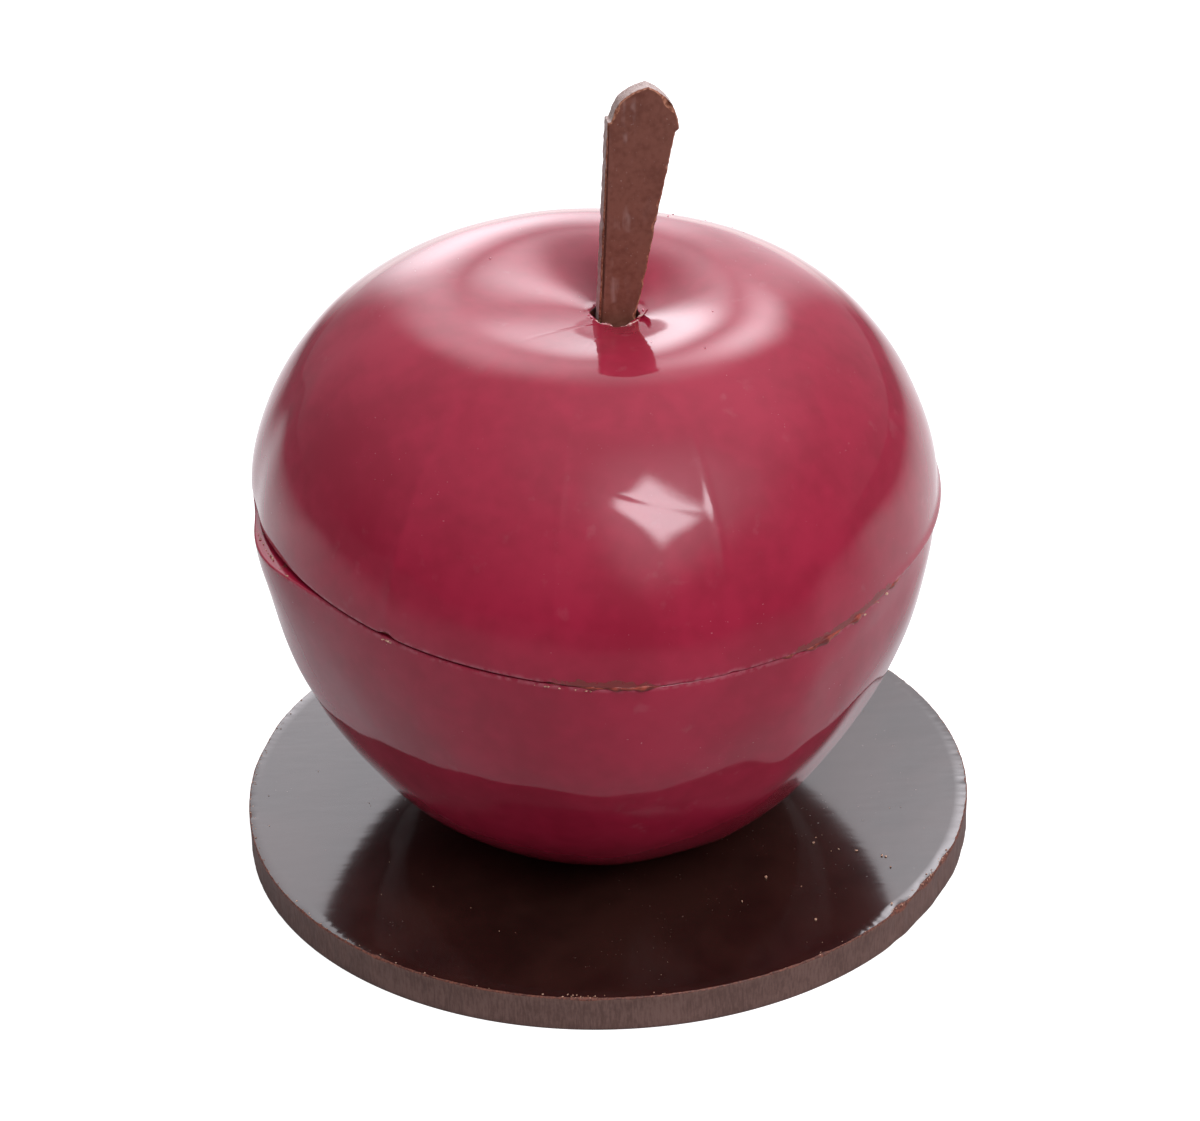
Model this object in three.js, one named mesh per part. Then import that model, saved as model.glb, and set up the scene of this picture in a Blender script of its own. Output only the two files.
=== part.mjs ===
// A moulded chocolate apple: an upper and a lower half meeting at a seam round its widest part,
// a flat stem standing in a hole at the bottom of the dimple, and the round disc it is stuck to.
// Millimetres, +Z up. The origin is the centre of the disc's underside, and -Y is the front.

import * as THREE from "three";

// ---- Driving dimensions ----

// Disc, cut from a sheet of dark chocolate.
const DISC_RADIUS = 37.5;
const DISC_THICKNESS = 3.8;
const DISC_EDGE = 0.25; // worn corner at both rims
const DISC_SEGMENTS = 96;

// The seam: its height on the axis, and how far its plane drops per millimetre to +X and rises to +Y.
const SEAM_HEIGHT = 38.55;
const SEAM_GAP = 0.3;
const SEAM_SLOPE_X = -0.034;
const SEAM_SLOPE_Y = 0.052;
const RIM_CHAMFER = 0.35;
const APPLE_SEGMENTS = 72;

// Upper half, measured from the seam's plane. The crown curves up from the rim to the ridge round the
// dimple, and the dimple's wall eases off the ridge into an even slope down to the hole.
const UPPER_RIM_RADIUS = 33.95;
const RIDGE_RADIUS = 13.8;
const CROWN_HEIGHT = 22;
const CROWN_POWER = 1.22;
const CROWN_RINGS = 22;
const DIMPLE_SLOPE = 0.34;
const CREST_EASE = 4; // distance inside the ridge over which the slope sets in
const DIMPLE_RINGS = 8;
const DIMPLE_REACH = 26; // radius from which the shell leans towards the dimple's own centre
const DIMPLE_CENTRE = new THREE.Vector2(-0.3, -0.5);
const HOLE_RADIUS = 2.45;
const HOLE_CENTRE = new THREE.Vector2(1.5, 0.1);
const HOLE_DEPTH = 6;

// The rims are faintly three-sided, which makes them bulge at the front.
const LOBE_SHARE = 0.024;
const LOBE_BEARING = THREE.MathUtils.degToRad(37.5);

// Lower half, which follows the upper rim and narrows to a flat foot a little left of the rim's centre.
const LOWER_RIM_TUCK = 0.15; // how far it stays inside the upper rim
const FOOT_RADIUS = 12.6;
const FOOT_CENTRE = new THREE.Vector2(-0.85, -0.2);
const LOWER_WIDTH_POWER = 1.3;
const LOWER_HEIGHT_POWER = 1.03;
const LOWER_RINGS = 16;

// Stem, a plaque that widens upwards to a pointed arch, turned and leaning towards +X.
const STEM_THICKNESS = 1.9;
const STEM_BEVEL = 0.15;
const STEM_BASE = new THREE.Vector3(2.2, -0.9, 57.25); // where the middle of the plaque crosses the dimple
const STEM_LEAN = THREE.MathUtils.degToRad(8);
const STEM_TURN = THREE.MathUtils.degToRad(9);
const STEM_SUNK = 5; // length below the base point
const STEM_SHOULDER = 19.6; // length up to the arch
const STEM_HALF_WIDTH = 1.76; // at the base point
const STEM_FLARE = 0.077; // half-width gained per millimetre of length
const ARCH_RISE = 4.5;
const ARCH_SAGITTA = 0.8; // how far each side of the arch bows out from its chord
const ARCH_SHIFT = 0.35; // the arch is cut this far to the right of the shank
const ARCH_STEPS = 10;

// ---- Shapes ----

/** Joins rings of equal length, and a pole at each end, into one closed surface. */
function closedFromRings(bottomPole, rings, topPole) {
  const count = rings[0].length;
  const points = [bottomPole, ...rings.flat(), topPole];
  const topIndex = points.length - 1;
  const indices = [];
  for (let i = 0; i < count; i++) {
    const next = (i + 1) % count;
    indices.push(0, 1 + next, 1 + i);
    for (let ring = 0; ring + 1 < rings.length; ring++) {
      const low = 1 + ring * count;
      const high = low + count;
      indices.push(low + i, low + next, high + next);
      indices.push(low + i, high + next, high + i);
    }
    const last = 1 + (rings.length - 1) * count;
    indices.push(last + i, last + next, topIndex);
  }
  const geometry = new THREE.BufferGeometry().setFromPoints(points);
  geometry.setIndex(indices);
  geometry.computeVertexNormals();
  return geometry;
}

/** One ring of the apple: place(angle) gives the point at each of its angles. */
function ringOf(place) {
  return Array.from({ length: APPLE_SEGMENTS }, (_, i) =>
    place((2 * Math.PI * i) / APPLE_SEGMENTS),
  );
}

/** Height that the seam's plane adds at x, y. */
function seamTilt(x, y) {
  return SEAM_SLOPE_X * x + SEAM_SLOPE_Y * y;
}

/** Carries a point of the upper half, measured from the seam's plane, into the part's frame. */
function onTiltedSeam(x, y, rise) {
  return new THREE.Vector3(
    x - SEAM_SLOPE_X * rise,
    y - SEAM_SLOPE_Y * rise,
    SEAM_HEIGHT + rise + seamTilt(x, y),
  );
}

/** How much wider than a circle the rims are at an angle. */
function lobe(angle) {
  return 1 + LOBE_SHARE * Math.cos(3 * (angle - LOBE_BEARING));
}

/** How high above the seam the dimple's wall is at a radius inside the ridge. */
function dimpleRise(radius) {
  return CROWN_HEIGHT - DIMPLE_SLOPE * (Math.hypot(RIDGE_RADIUS - radius, CREST_EASE) - CREST_EASE);
}

/** The upper half's outline, radius and rise, from the rim over the ridge to the hole. */
function upperOutline() {
  const crown = Array.from({ length: CROWN_RINGS }, (_, i) => {
    const turn = (Math.PI / 2) * (i / CROWN_RINGS);
    const radius = RIDGE_RADIUS + (UPPER_RIM_RADIUS - RIDGE_RADIUS) * Math.cos(turn);
    return [radius, CROWN_HEIGHT * Math.sin(turn) ** CROWN_POWER];
  });
  const dimple = Array.from({ length: DIMPLE_RINGS + 1 }, (_, i) => {
    const radius = THREE.MathUtils.lerp(RIDGE_RADIUS, HOLE_RADIUS, i / DIMPLE_RINGS);
    return [radius, dimpleRise(radius)];
  });
  return [...crown, ...dimple];
}

/** The upper half: from the seam out and up over the ridge, down the dimple and into the hole. */
function upperHalfGeometry() {
  const rings = [];
  const addRing = (radius, rise, lobeShare, centre) => {
    rings.push(
      ringOf((angle) => {
        const r = radius * (1 + (lobe(angle) - 1) * lobeShare);
        return onTiltedSeam(centre.x + r * Math.cos(angle), centre.y + r * Math.sin(angle), rise);
      }),
    );
  };
  const middle = new THREE.Vector2();
  const bottom = SEAM_GAP / 2;
  const first = bottom + RIM_CHAMFER;
  addRing(UPPER_RIM_RADIUS - RIM_CHAMFER, bottom, 1, middle);
  for (const [radius, rise] of upperOutline()) {
    const rimShare = THREE.MathUtils.clamp((radius - RIDGE_RADIUS) / (UPPER_RIM_RADIUS - RIDGE_RADIUS), 0, 1);
    const nearDimple = 1 - THREE.MathUtils.smoothstep(radius, RIDGE_RADIUS, DIMPLE_REACH);
    const nearHole = 1 - THREE.MathUtils.smoothstep(radius, HOLE_RADIUS, RIDGE_RADIUS);
    const centre = DIMPLE_CENTRE.clone().multiplyScalar(nearDimple).lerp(HOLE_CENTRE, nearHole);
    addRing(radius, rise + first * (1 - rise / CROWN_HEIGHT), rimShare, centre);
  }
  const holeFloor = dimpleRise(HOLE_RADIUS) - HOLE_DEPTH;
  addRing(HOLE_RADIUS, holeFloor, 0, HOLE_CENTRE);
  const holePole = onTiltedSeam(HOLE_CENTRE.x, HOLE_CENTRE.y, holeFloor);
  return closedFromRings(onTiltedSeam(0, 0, bottom), rings, holePole);
}

/** The lower half: from its foot on the disc up to the seam. */
function lowerHalfGeometry() {
  const place = (spread, share, drop = 0, inset = 0) =>
    ringOf((angle) => {
      const rim = UPPER_RIM_RADIUS * lobe(angle) - LOWER_RIM_TUCK;
      const radius = FOOT_RADIUS + (rim - FOOT_RADIUS) * spread - inset;
      return lowerPoint(radius * Math.cos(angle), radius * Math.sin(angle), share, drop);
    });
  const rings = [];
  for (let i = 0; i <= LOWER_RINGS; i++) {
    const turn = (Math.PI / 2) * (1 - i / LOWER_RINGS);
    const spread = Math.cos(turn) ** LOWER_WIDTH_POWER;
    rings.push(place(spread, 1 - Math.sin(turn) ** LOWER_HEIGHT_POWER, RIM_CHAMFER));
  }
  rings.push(place(1, 1, 0, RIM_CHAMFER));
  return closedFromRings(lowerPoint(0, 0, 0), rings, lowerPoint(0, 0, 1));
}

/** A point of the lower half: share is 0 at the foot and 1 at the seam, drop is taken off its height. */
function lowerPoint(x, y, share, drop = 0) {
  const top = SEAM_HEIGHT - SEAM_GAP / 2 - drop + seamTilt(x, y);
  return new THREE.Vector3(
    x + FOOT_CENTRE.x * (1 - share),
    y + FOOT_CENTRE.y * (1 - share),
    DISC_THICKNESS + share * (top - DISC_THICKNESS),
  );
}

/** The disc: a flat round plate with worn corners. */
function discGeometry() {
  const profile = [
    [0, 0],
    [DISC_RADIUS - DISC_EDGE, 0],
    [DISC_RADIUS, DISC_EDGE],
    [DISC_RADIUS, DISC_THICKNESS - DISC_EDGE],
    [DISC_RADIUS - DISC_EDGE, DISC_THICKNESS],
    [0, DISC_THICKNESS],
  ].map(([r, z]) => new THREE.Vector2(r, z));
  const geometry = new THREE.LatheGeometry(profile, DISC_SEGMENTS);
  return geometry.rotateX(Math.PI / 2);
}

/** Points of an arc from start to end that bows by sagitta to the left of that direction. */
function bowedArc(start, end, sagitta) {
  const chord = end.clone().sub(start);
  const left = new THREE.Vector2(-chord.y, chord.x).normalize();
  return Array.from({ length: ARCH_STEPS }, (_, i) => {
    const along = (i + 1) / ARCH_STEPS;
    const bow = 4 * sagitta * along * (1 - along);
    return start.clone().addScaledVector(chord, along).addScaledVector(left, bow);
  });
}

/** The stem's outline in its own plane, with its base point at 0, 0, counter-clockwise. */
function stemShape() {
  const halfWidth = (length) => STEM_HALF_WIDTH + STEM_FLARE * length;
  const inset = STEM_BEVEL;
  const bottom = halfWidth(-STEM_SUNK) - inset;
  const shoulder = halfWidth(STEM_SHOULDER) - inset;
  const apex = new THREE.Vector2(ARCH_SHIFT, STEM_SHOULDER + ARCH_RISE - inset);
  const archRight = new THREE.Vector2(shoulder + ARCH_SHIFT, STEM_SHOULDER + ARCH_SHIFT);
  const archLeft = new THREE.Vector2(-shoulder + ARCH_SHIFT, STEM_SHOULDER + ARCH_SHIFT * 2);
  return new THREE.Shape([
    new THREE.Vector2(-bottom, -STEM_SUNK + inset),
    new THREE.Vector2(bottom, -STEM_SUNK + inset),
    new THREE.Vector2(shoulder, STEM_SHOULDER),
    archRight,
    ...bowedArc(archRight, apex, -ARCH_SAGITTA),
    ...bowedArc(apex, archLeft, -ARCH_SAGITTA),
    new THREE.Vector2(-shoulder, STEM_SHOULDER + ARCH_SHIFT * 2),
  ]);
}

/** The stem standing upright, its thickness along Y and centred on it. */
function stemGeometry() {
  const flat = STEM_THICKNESS - 2 * STEM_BEVEL;
  const geometry = new THREE.ExtrudeGeometry(stemShape(), {
    depth: flat,
    bevelEnabled: true,
    bevelThickness: STEM_BEVEL,
    bevelSize: STEM_BEVEL,
    bevelSegments: 1,
  });
  return geometry.translate(0, 0, -flat / 2).rotateX(Math.PI / 2);
}

// ---- Pieces ----

const crimson = () => new THREE.MeshStandardMaterial({ color: 0xa32346, roughness: 0.15, metalness: 0 });
const milkChocolate = new THREE.MeshStandardMaterial({ color: 0x67413a, roughness: 0.5, metalness: 0 });
const darkChocolate = new THREE.MeshStandardMaterial({ color: 0x2f1d19, roughness: 0.25, metalness: 0 });

function piece(name, geometry, material) {
  const mesh = new THREE.Mesh(geometry, material);
  mesh.name = name;
  return mesh;
}

const apple = new THREE.Group();
apple.add(piece("base_disc", discGeometry(), darkChocolate));
apple.add(piece("lower_half", lowerHalfGeometry(), crimson()));
apple.add(piece("upper_half", upperHalfGeometry(), crimson()));

const stem = piece("stem", stemGeometry(), milkChocolate);
stem.position.copy(STEM_BASE);
stem.rotation.set(0, STEM_LEAN, STEM_TURN, "ZYX");
apple.add(stem);

export default apple;
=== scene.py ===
"""A moulded chocolate apple on a disc of dark chocolate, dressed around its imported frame.

Lengths are in millimetres until a mesh is made, where they become metres. +Z is up, -Y is the front,
and angles round the apple run anticlockwise from +X, seen from above.
"""

from __future__ import annotations

import logging
import math
from collections.abc import Iterator
from contextlib import contextmanager
from dataclasses import dataclass
from enum import Enum
from typing import Any, Union

import bmesh
import bpy
import numpy as np
from mathutils import Matrix, Vector

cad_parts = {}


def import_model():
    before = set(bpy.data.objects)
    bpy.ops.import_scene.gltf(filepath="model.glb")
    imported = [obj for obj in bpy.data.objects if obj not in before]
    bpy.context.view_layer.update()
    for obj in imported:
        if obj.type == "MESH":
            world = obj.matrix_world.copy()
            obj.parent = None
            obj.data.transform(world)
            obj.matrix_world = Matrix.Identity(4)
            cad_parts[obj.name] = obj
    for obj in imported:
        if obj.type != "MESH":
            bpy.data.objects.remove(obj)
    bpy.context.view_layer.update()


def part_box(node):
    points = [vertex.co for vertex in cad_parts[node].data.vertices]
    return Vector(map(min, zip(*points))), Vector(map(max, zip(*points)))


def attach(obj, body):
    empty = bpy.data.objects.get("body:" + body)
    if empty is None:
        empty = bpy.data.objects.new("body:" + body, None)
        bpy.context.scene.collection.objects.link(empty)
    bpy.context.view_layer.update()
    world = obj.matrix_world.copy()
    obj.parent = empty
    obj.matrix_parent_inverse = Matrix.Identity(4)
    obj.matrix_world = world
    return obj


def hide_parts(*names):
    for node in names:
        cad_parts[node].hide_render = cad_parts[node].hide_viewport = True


MM = 0.001
SAME_PLACE = 1e-7  # metres
ABOVE_ALL = 0.2  # metres, higher than any piece
LOG = logging.getLogger("chocolate_piece")

Colour = tuple[float, float, float]


class Slot(Enum):
    """The record's material slots."""

    CRIMSON = "crimson_chocolate"
    MILK = "milk_chocolate"
    DARK = "dark_chocolate"


def linear(red: int, green: int, blue: int) -> Colour:
    """Turns a screen colour into a linear one.

    Args:
        red: Red from 0 to 255.
        green: Green from 0 to 255.
        blue: Blue from 0 to 255.

    Returns:
        The three linear values.
    """
    parts = [c / 255 for c in (red, green, blue)]
    return tuple(c / 12.92 if c <= 0.04045 else ((c + 0.055) / 1.055) ** 2.4 for c in parts)


# ---- Shape helpers ----


@dataclass(frozen=True)
class Ripple:
    """A gentle unevenness: plane waves of about one length, added up in fixed random directions."""

    seed: int
    length: float
    height: float
    waves: int = 8

    def at(self, points: np.ndarray) -> np.ndarray:
        """Gives the unevenness at points.

        Args:
            points: Places, with x, y and z last.

        Returns:
            A height for each place.
        """
        draw = np.random.default_rng(self.seed)
        total = np.zeros(points.shape[:-1])
        for _ in range(self.waves):
            direction = draw.normal(size=3)
            direction /= np.linalg.norm(direction)
            pace = 2 * math.pi / (self.length * draw.uniform(0.7, 1.5))
            total += np.sin(points @ (direction * pace) + draw.uniform(0, 2 * math.pi))
        return total * self.height / math.sqrt(self.waves / 2)


@dataclass(frozen=True)
class Bulge:
    """A swelling, or a dip where height is negative, round one angle of a rim."""

    angle: float
    width: float
    height: float

    def at(self, angles: np.ndarray) -> np.ndarray:
        """Gives the swelling at angles.

        Args:
            angles: Angles in radians.

        Returns:
            A height for each angle.
        """
        away = (np.degrees(angles) - self.angle + 180) % 360 - 180
        return self.height * np.exp(-0.5 * (away / self.width) ** 2)


def swell(bulges: tuple[Bulge, ...], angles: np.ndarray) -> np.ndarray:
    """Adds up bulges.

    Args:
        bulges: The bulges.
        angles: Angles in radians.

    Returns:
        Their sum at each angle.
    """
    return sum((b.at(angles) for b in bulges), np.zeros_like(angles))


@dataclass(frozen=True)
class Crease:
    """A low step across the shell from one point to another, as a mould mark leaves."""

    start: tuple[float, float, float]
    end: tuple[float, float, float]
    width: float
    depth: float
    fade: float = 1.1

    def at(self, points: np.ndarray) -> np.ndarray:
        """Gives how far the step raises the surface above it and lowers it below.

        Args:
            points: Places on the surface.

        Returns:
            A height for each place.
        """
        start, end = np.array(self.start), np.array(self.end)
        length = np.linalg.norm(end - start)
        along = (end - start) / length
        across = np.array([0.0, 0.0, 1.0]) - along * along[2]
        across /= np.linalg.norm(across)
        s = (points - start) @ along / length
        t = (points - start) @ across
        depth_axis = np.cross(along, across)
        near = np.exp(-((((points - start) @ depth_axis) / 6.0) ** 2))
        ends = np.sin(np.pi * np.clip(s, 0, 1)) ** 2
        step = np.tanh(t / self.width) * np.exp(-((t / self.fade) ** 2))
        return self.depth / 2 * step * ends * ends * (3 - 2 * ends) * near


def spread_out(count: int, density: np.ndarray) -> np.ndarray:
    """Spaces samples from 0 to 1 so that they lie closer where density is higher.

    Args:
        count: How many samples.
        density: The density at even steps from 0 to 1.

    Returns:
        The samples, from 0 to 1.
    """
    total = np.concatenate([[0.0], np.cumsum(density)])
    return np.interp(np.linspace(0, 1, count), total / total[-1], np.linspace(0, 1, len(total)))


def unit(vectors: np.ndarray) -> np.ndarray:
    """Scales vectors to length 1."""
    return vectors / np.maximum(np.linalg.norm(vectors, axis=-1, keepdims=True), 1e-12)


def grid_normals(grid: np.ndarray) -> np.ndarray:
    """Gives outward directions on a grid of rings that run anticlockwise and from the bottom to the top.

    Args:
        grid: Rings of points.

    Returns:
        A unit vector for each point.
    """
    round_it = np.roll(grid, -1, axis=1) - np.roll(grid, 1, axis=1)
    return unit(np.cross(round_it, np.gradient(grid, axis=0)))


@dataclass
class Skin:
    """The faces and points of a piece, gathered until its mesh is made."""

    points: list[np.ndarray]
    faces: list[list[int]]
    slots: list[int]

    @classmethod
    def empty(cls) -> Skin:
        """Starts with nothing."""
        return cls([], [], [])

    def size(self) -> int:
        """Counts the points so far."""
        return sum(len(p) for p in self.points)

    def add_points(self, points: np.ndarray) -> int:
        """Adds points and returns the number of the first."""
        first = self.size()
        self.points.append(np.asarray(points, float).reshape(-1, 3))
        return first

    def add_faces(self, faces: np.ndarray | list[list[int]], slot: int = 0) -> None:
        """Adds faces that share a material slot.

        Args:
            faces: Faces as lists of point numbers.
            slot: The material slot.
        """
        rows = [list(map(int, f)) for f in faces]
        self.faces += rows
        self.slots += [slot] * len(rows)

    def add_rings(self, grid: np.ndarray, slots: list[int], bottom: bool = True, top: bool = True) -> int:
        """Adds a stack of rings, closed at its ends by fans round their middles.

        Args:
            grid: Rings of points, anticlockwise, from the bottom to the top.
            slots: The material slot of each band between two rings, and of the two fans first and last.
            bottom: Whether the first ring is closed.
            top: Whether the last ring is closed.

        Returns:
            The number of the first point.
        """
        rings, count = grid.shape[:2]
        first = self.add_points(grid)
        here = np.arange(count)
        after = (here + 1) % count
        for ring in range(rings - 1):
            low = first + ring * count
            high = low + count
            self.add_faces(np.stack([low + here, low + after, high + after, high + here], 1), slots[ring + 1])
        if bottom:
            pole = self.add_points(grid[0].mean(axis=0))
            self.add_faces(np.stack([np.full(count, pole), first + after, first + here], 1), slots[0])
        if top:
            pole = self.add_points(grid[-1].mean(axis=0))
            last = first + (rings - 1) * count
            self.add_faces(np.stack([last + here, last + after, np.full(count, pole)], 1), slots[-1])
        return first

    def make(
        self, name: str, materials: list[bpy.types.Material], flat: tuple[int, ...] = ()
    ) -> bpy.types.Object:
        """Makes the mesh object.

        Args:
            name: The piece's name.
            materials: A material for each slot.
            flat: Slots whose faces are shaded flat.

        Returns:
            The object, in the scene.
        """
        mesh = bpy.data.meshes.new(name)
        mesh.from_pydata((np.concatenate(self.points) * MM).tolist(), [], self.faces)
        for material in materials:
            mesh.materials.append(material)
        mesh.polygons.foreach_set("material_index", self.slots)
        mesh.polygons.foreach_set("use_smooth", [slot not in flat for slot in self.slots])
        mesh.update()
        piece = bpy.data.objects.new(name, mesh)
        bpy.context.scene.collection.objects.link(piece)
        return piece


@contextmanager
def reworked(piece: bpy.types.Object) -> Iterator[bmesh.types.BMesh]:
    """Opens a piece's mesh for changes and stores them at the end.

    Args:
        piece: The piece.

    Yields:
        The opened mesh.
    """
    work = bmesh.new()
    work.from_mesh(piece.data)
    yield work
    work.to_mesh(piece.data)
    work.free()
    piece.data.update()


def weld(piece: bpy.types.Object) -> None:
    """Joins points of a piece that lie at the same place."""
    with reworked(piece) as work:
        bmesh.ops.remove_doubles(work, verts=work.verts, dist=SAME_PLACE)


def recalculate(piece: bpy.types.Object) -> None:
    """Turns all faces of a closed piece outwards."""
    with reworked(piece) as work:
        bmesh.ops.recalc_face_normals(work, faces=work.faces)


def paint_points(piece: bpy.types.Object, name: str, amounts: np.ndarray) -> None:
    """Stores a number at each point of a piece, for its material to read.

    Args:
        piece: The piece.
        name: The name of the numbers.
        amounts: A number for each point; points past its end get 0.
    """
    values = np.zeros(len(piece.data.vertices), np.float32)
    values[: amounts.size] = amounts.ravel()
    piece.data.attributes.new(name, "FLOAT", "POINT").data.foreach_set("value", values)


# ---- Node helpers ----

Feed = Union["Value", bpy.types.NodeSocket, float, tuple]


class Value:
    """A number in a node tree. Sums on it add the nodes that work them out."""

    def __init__(self, recipe: Recipe, socket: bpy.types.NodeSocket) -> None:
        """Wraps an output socket of a recipe's tree."""
        self.recipe = recipe
        self.socket = socket

    def _sum(self, operation: str, *others: Feed) -> Value:
        """Adds a Math node with this value first."""
        return self.recipe.math(operation, self, *others)

    def __add__(self, other: Feed) -> Value:
        """Adds."""
        return self._sum("ADD", other)

    __radd__ = __add__

    def __mul__(self, other: Feed) -> Value:
        """Multiplies."""
        return self._sum("MULTIPLY", other)

    __rmul__ = __mul__

    def __sub__(self, other: Feed) -> Value:
        """Takes away."""
        return self._sum("SUBTRACT", other)

    def __rsub__(self, other: Feed) -> Value:
        """Is taken away."""
        return self.recipe.math("SUBTRACT", other, self)

    def __truediv__(self, other: Feed) -> Value:
        """Divides."""
        return self._sum("DIVIDE", other)

    def __pow__(self, other: Feed) -> Value:
        """Raises to a power."""
        return self._sum("POWER", other)

    def __abs__(self) -> Value:
        """Drops the sign."""
        return self._sum("ABSOLUTE")

    def __gt__(self, other: Feed) -> Value:
        """Gives 1 where this is greater, and 0 elsewhere."""
        return self._sum("GREATER_THAN", other)

    def at_least(self, other: Feed) -> Value:
        """Gives the greater of the two."""
        return self._sum("MAXIMUM", other)

    def between(self, low: float, high: float, start: float = 0.0, end: float = 1.0) -> Value:
        """Runs smoothly from start to end as this goes from low to high.

        Args:
            low: Where the run begins.
            high: Where it ends.
            start: The result at low and below.
            end: The result at high and above.

        Returns:
            The result.
        """
        settings = {"interpolation_type": "SMOOTHSTEP"}
        feeds = {"Value": self, "From Min": low, "From Max": high, "To Min": start, "To Max": end}
        return Value(self.recipe, self.recipe.node("ShaderNodeMapRange", settings, feeds).outputs["Result"])


class Recipe:
    """Builds one node tree."""

    def __init__(self, tree: bpy.types.NodeTree) -> None:
        """Starts with an emptied tree."""
        self.tree = tree
        tree.nodes.clear()

    @classmethod
    def for_material(cls, name: str) -> tuple[Recipe, bpy.types.Material]:
        """Makes a material and the recipe of its tree."""
        material = bpy.data.materials.new(name)
        material.use_nodes = True
        return cls(material.node_tree), material

    def node(self, kind: str, settings: dict[str, Any], feeds: dict[str | int, Feed]) -> bpy.types.Node:
        """Adds a node.

        Args:
            kind: The node's type.
            settings: Its settings, which are set first.
            feeds: A value or a link for each of its sockets, by name or number.

        Returns:
            The node.
        """
        node = self.tree.nodes.new(kind)
        for name, setting in settings.items():
            setattr(node, name, setting)
        for key, feed in feeds.items():
            socket = node.inputs[key]
            source = feed.socket if isinstance(feed, Value) else feed
            if isinstance(source, bpy.types.NodeSocket):
                self.tree.links.new(source, socket)
            elif socket.type == "RGBA" and len(source) == 3:
                socket.default_value = (*source, 1.0)
            else:
                socket.default_value = source
        return node

    def math(self, operation: str, *terms: Feed) -> Value:
        """Adds a Math node."""
        node = self.node("ShaderNodeMath", {"operation": operation}, dict(enumerate(terms)))
        return Value(self, node.outputs[0])

    def vector(self, operation: str, *terms: Feed) -> bpy.types.Node:
        """Adds a Vector Math node."""
        return self.node("ShaderNodeVectorMath", {"operation": operation}, dict(enumerate(terms)))

    def dot(self, first: Feed, second: Feed) -> Value:
        """Multiplies two vectors into one number."""
        return Value(self, self.vector("DOT_PRODUCT", first, second).outputs["Value"])

    def blend(self, share: Feed, first: Feed, second: Feed) -> bpy.types.NodeSocket:
        """Mixes two colours.

        Args:
            share: The share of the second.
            first: The first colour.
            second: The second colour.

        Returns:
            The mixed colour.
        """
        feeds = {0: share, 6: first, 7: second}
        return self.node("ShaderNodeMix", {"data_type": "RGBA"}, feeds).outputs[2]

    def place(self, stretch: tuple[float, float, float] = (1.0, 1.0, 1.0)) -> bpy.types.NodeSocket:
        """Gives the place on the piece, in metres, stretched along its axes."""
        here = self.node("ShaderNodeTexCoord", {}, {}).outputs["Object"]
        return self.vector("MULTIPLY", here, stretch).outputs["Vector"]

    def cloud(self, size: float, detail: float = 2.0, place: Feed | None = None) -> Value:
        """Adds soft noise.

        Args:
            size: The width of its blotches in millimetres.
            detail: How many finer layers it has.
            place: Where to read it, or None for the place on the piece.

        Returns:
            A number round 0.5.
        """
        feeds = {"Vector": place or self.place(), "Scale": 1 / (size * MM), "Detail": detail}
        return Value(self, self.node("ShaderNodeTexNoise", {}, feeds).outputs["Fac"])

    def painted(self, name: str) -> Value:
        """Reads the numbers stored at the piece's points."""
        return Value(self, self.node("ShaderNodeAttribute", {"attribute_name": name}, {}).outputs["Fac"])

    def relief(self, height: Value, depth: float, under: Feed | None = None) -> bpy.types.NodeSocket:
        """Raises the surface.

        Args:
            height: The height, from 0 to 1.
            depth: What a height of 1 is in millimetres.
            under: Another relief below this one.

        Returns:
            The direction that the surface then faces.
        """
        feeds: dict[str | int, Feed] = {"Height": height, "Distance": depth * MM}
        if under is not None:
            feeds["Normal"] = under
        return self.node("ShaderNodeBump", {}, feeds).outputs["Normal"]

    def surface(self, feeds: dict[str | int, Feed]) -> None:
        """Ends the tree in a surface with these values."""
        shader = self.node("ShaderNodeBsdfPrincipled", {}, feeds)
        self.node("ShaderNodeOutputMaterial", {}, {"Surface": shader.outputs["BSDF"]})


# ---- Finishes ----


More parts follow.
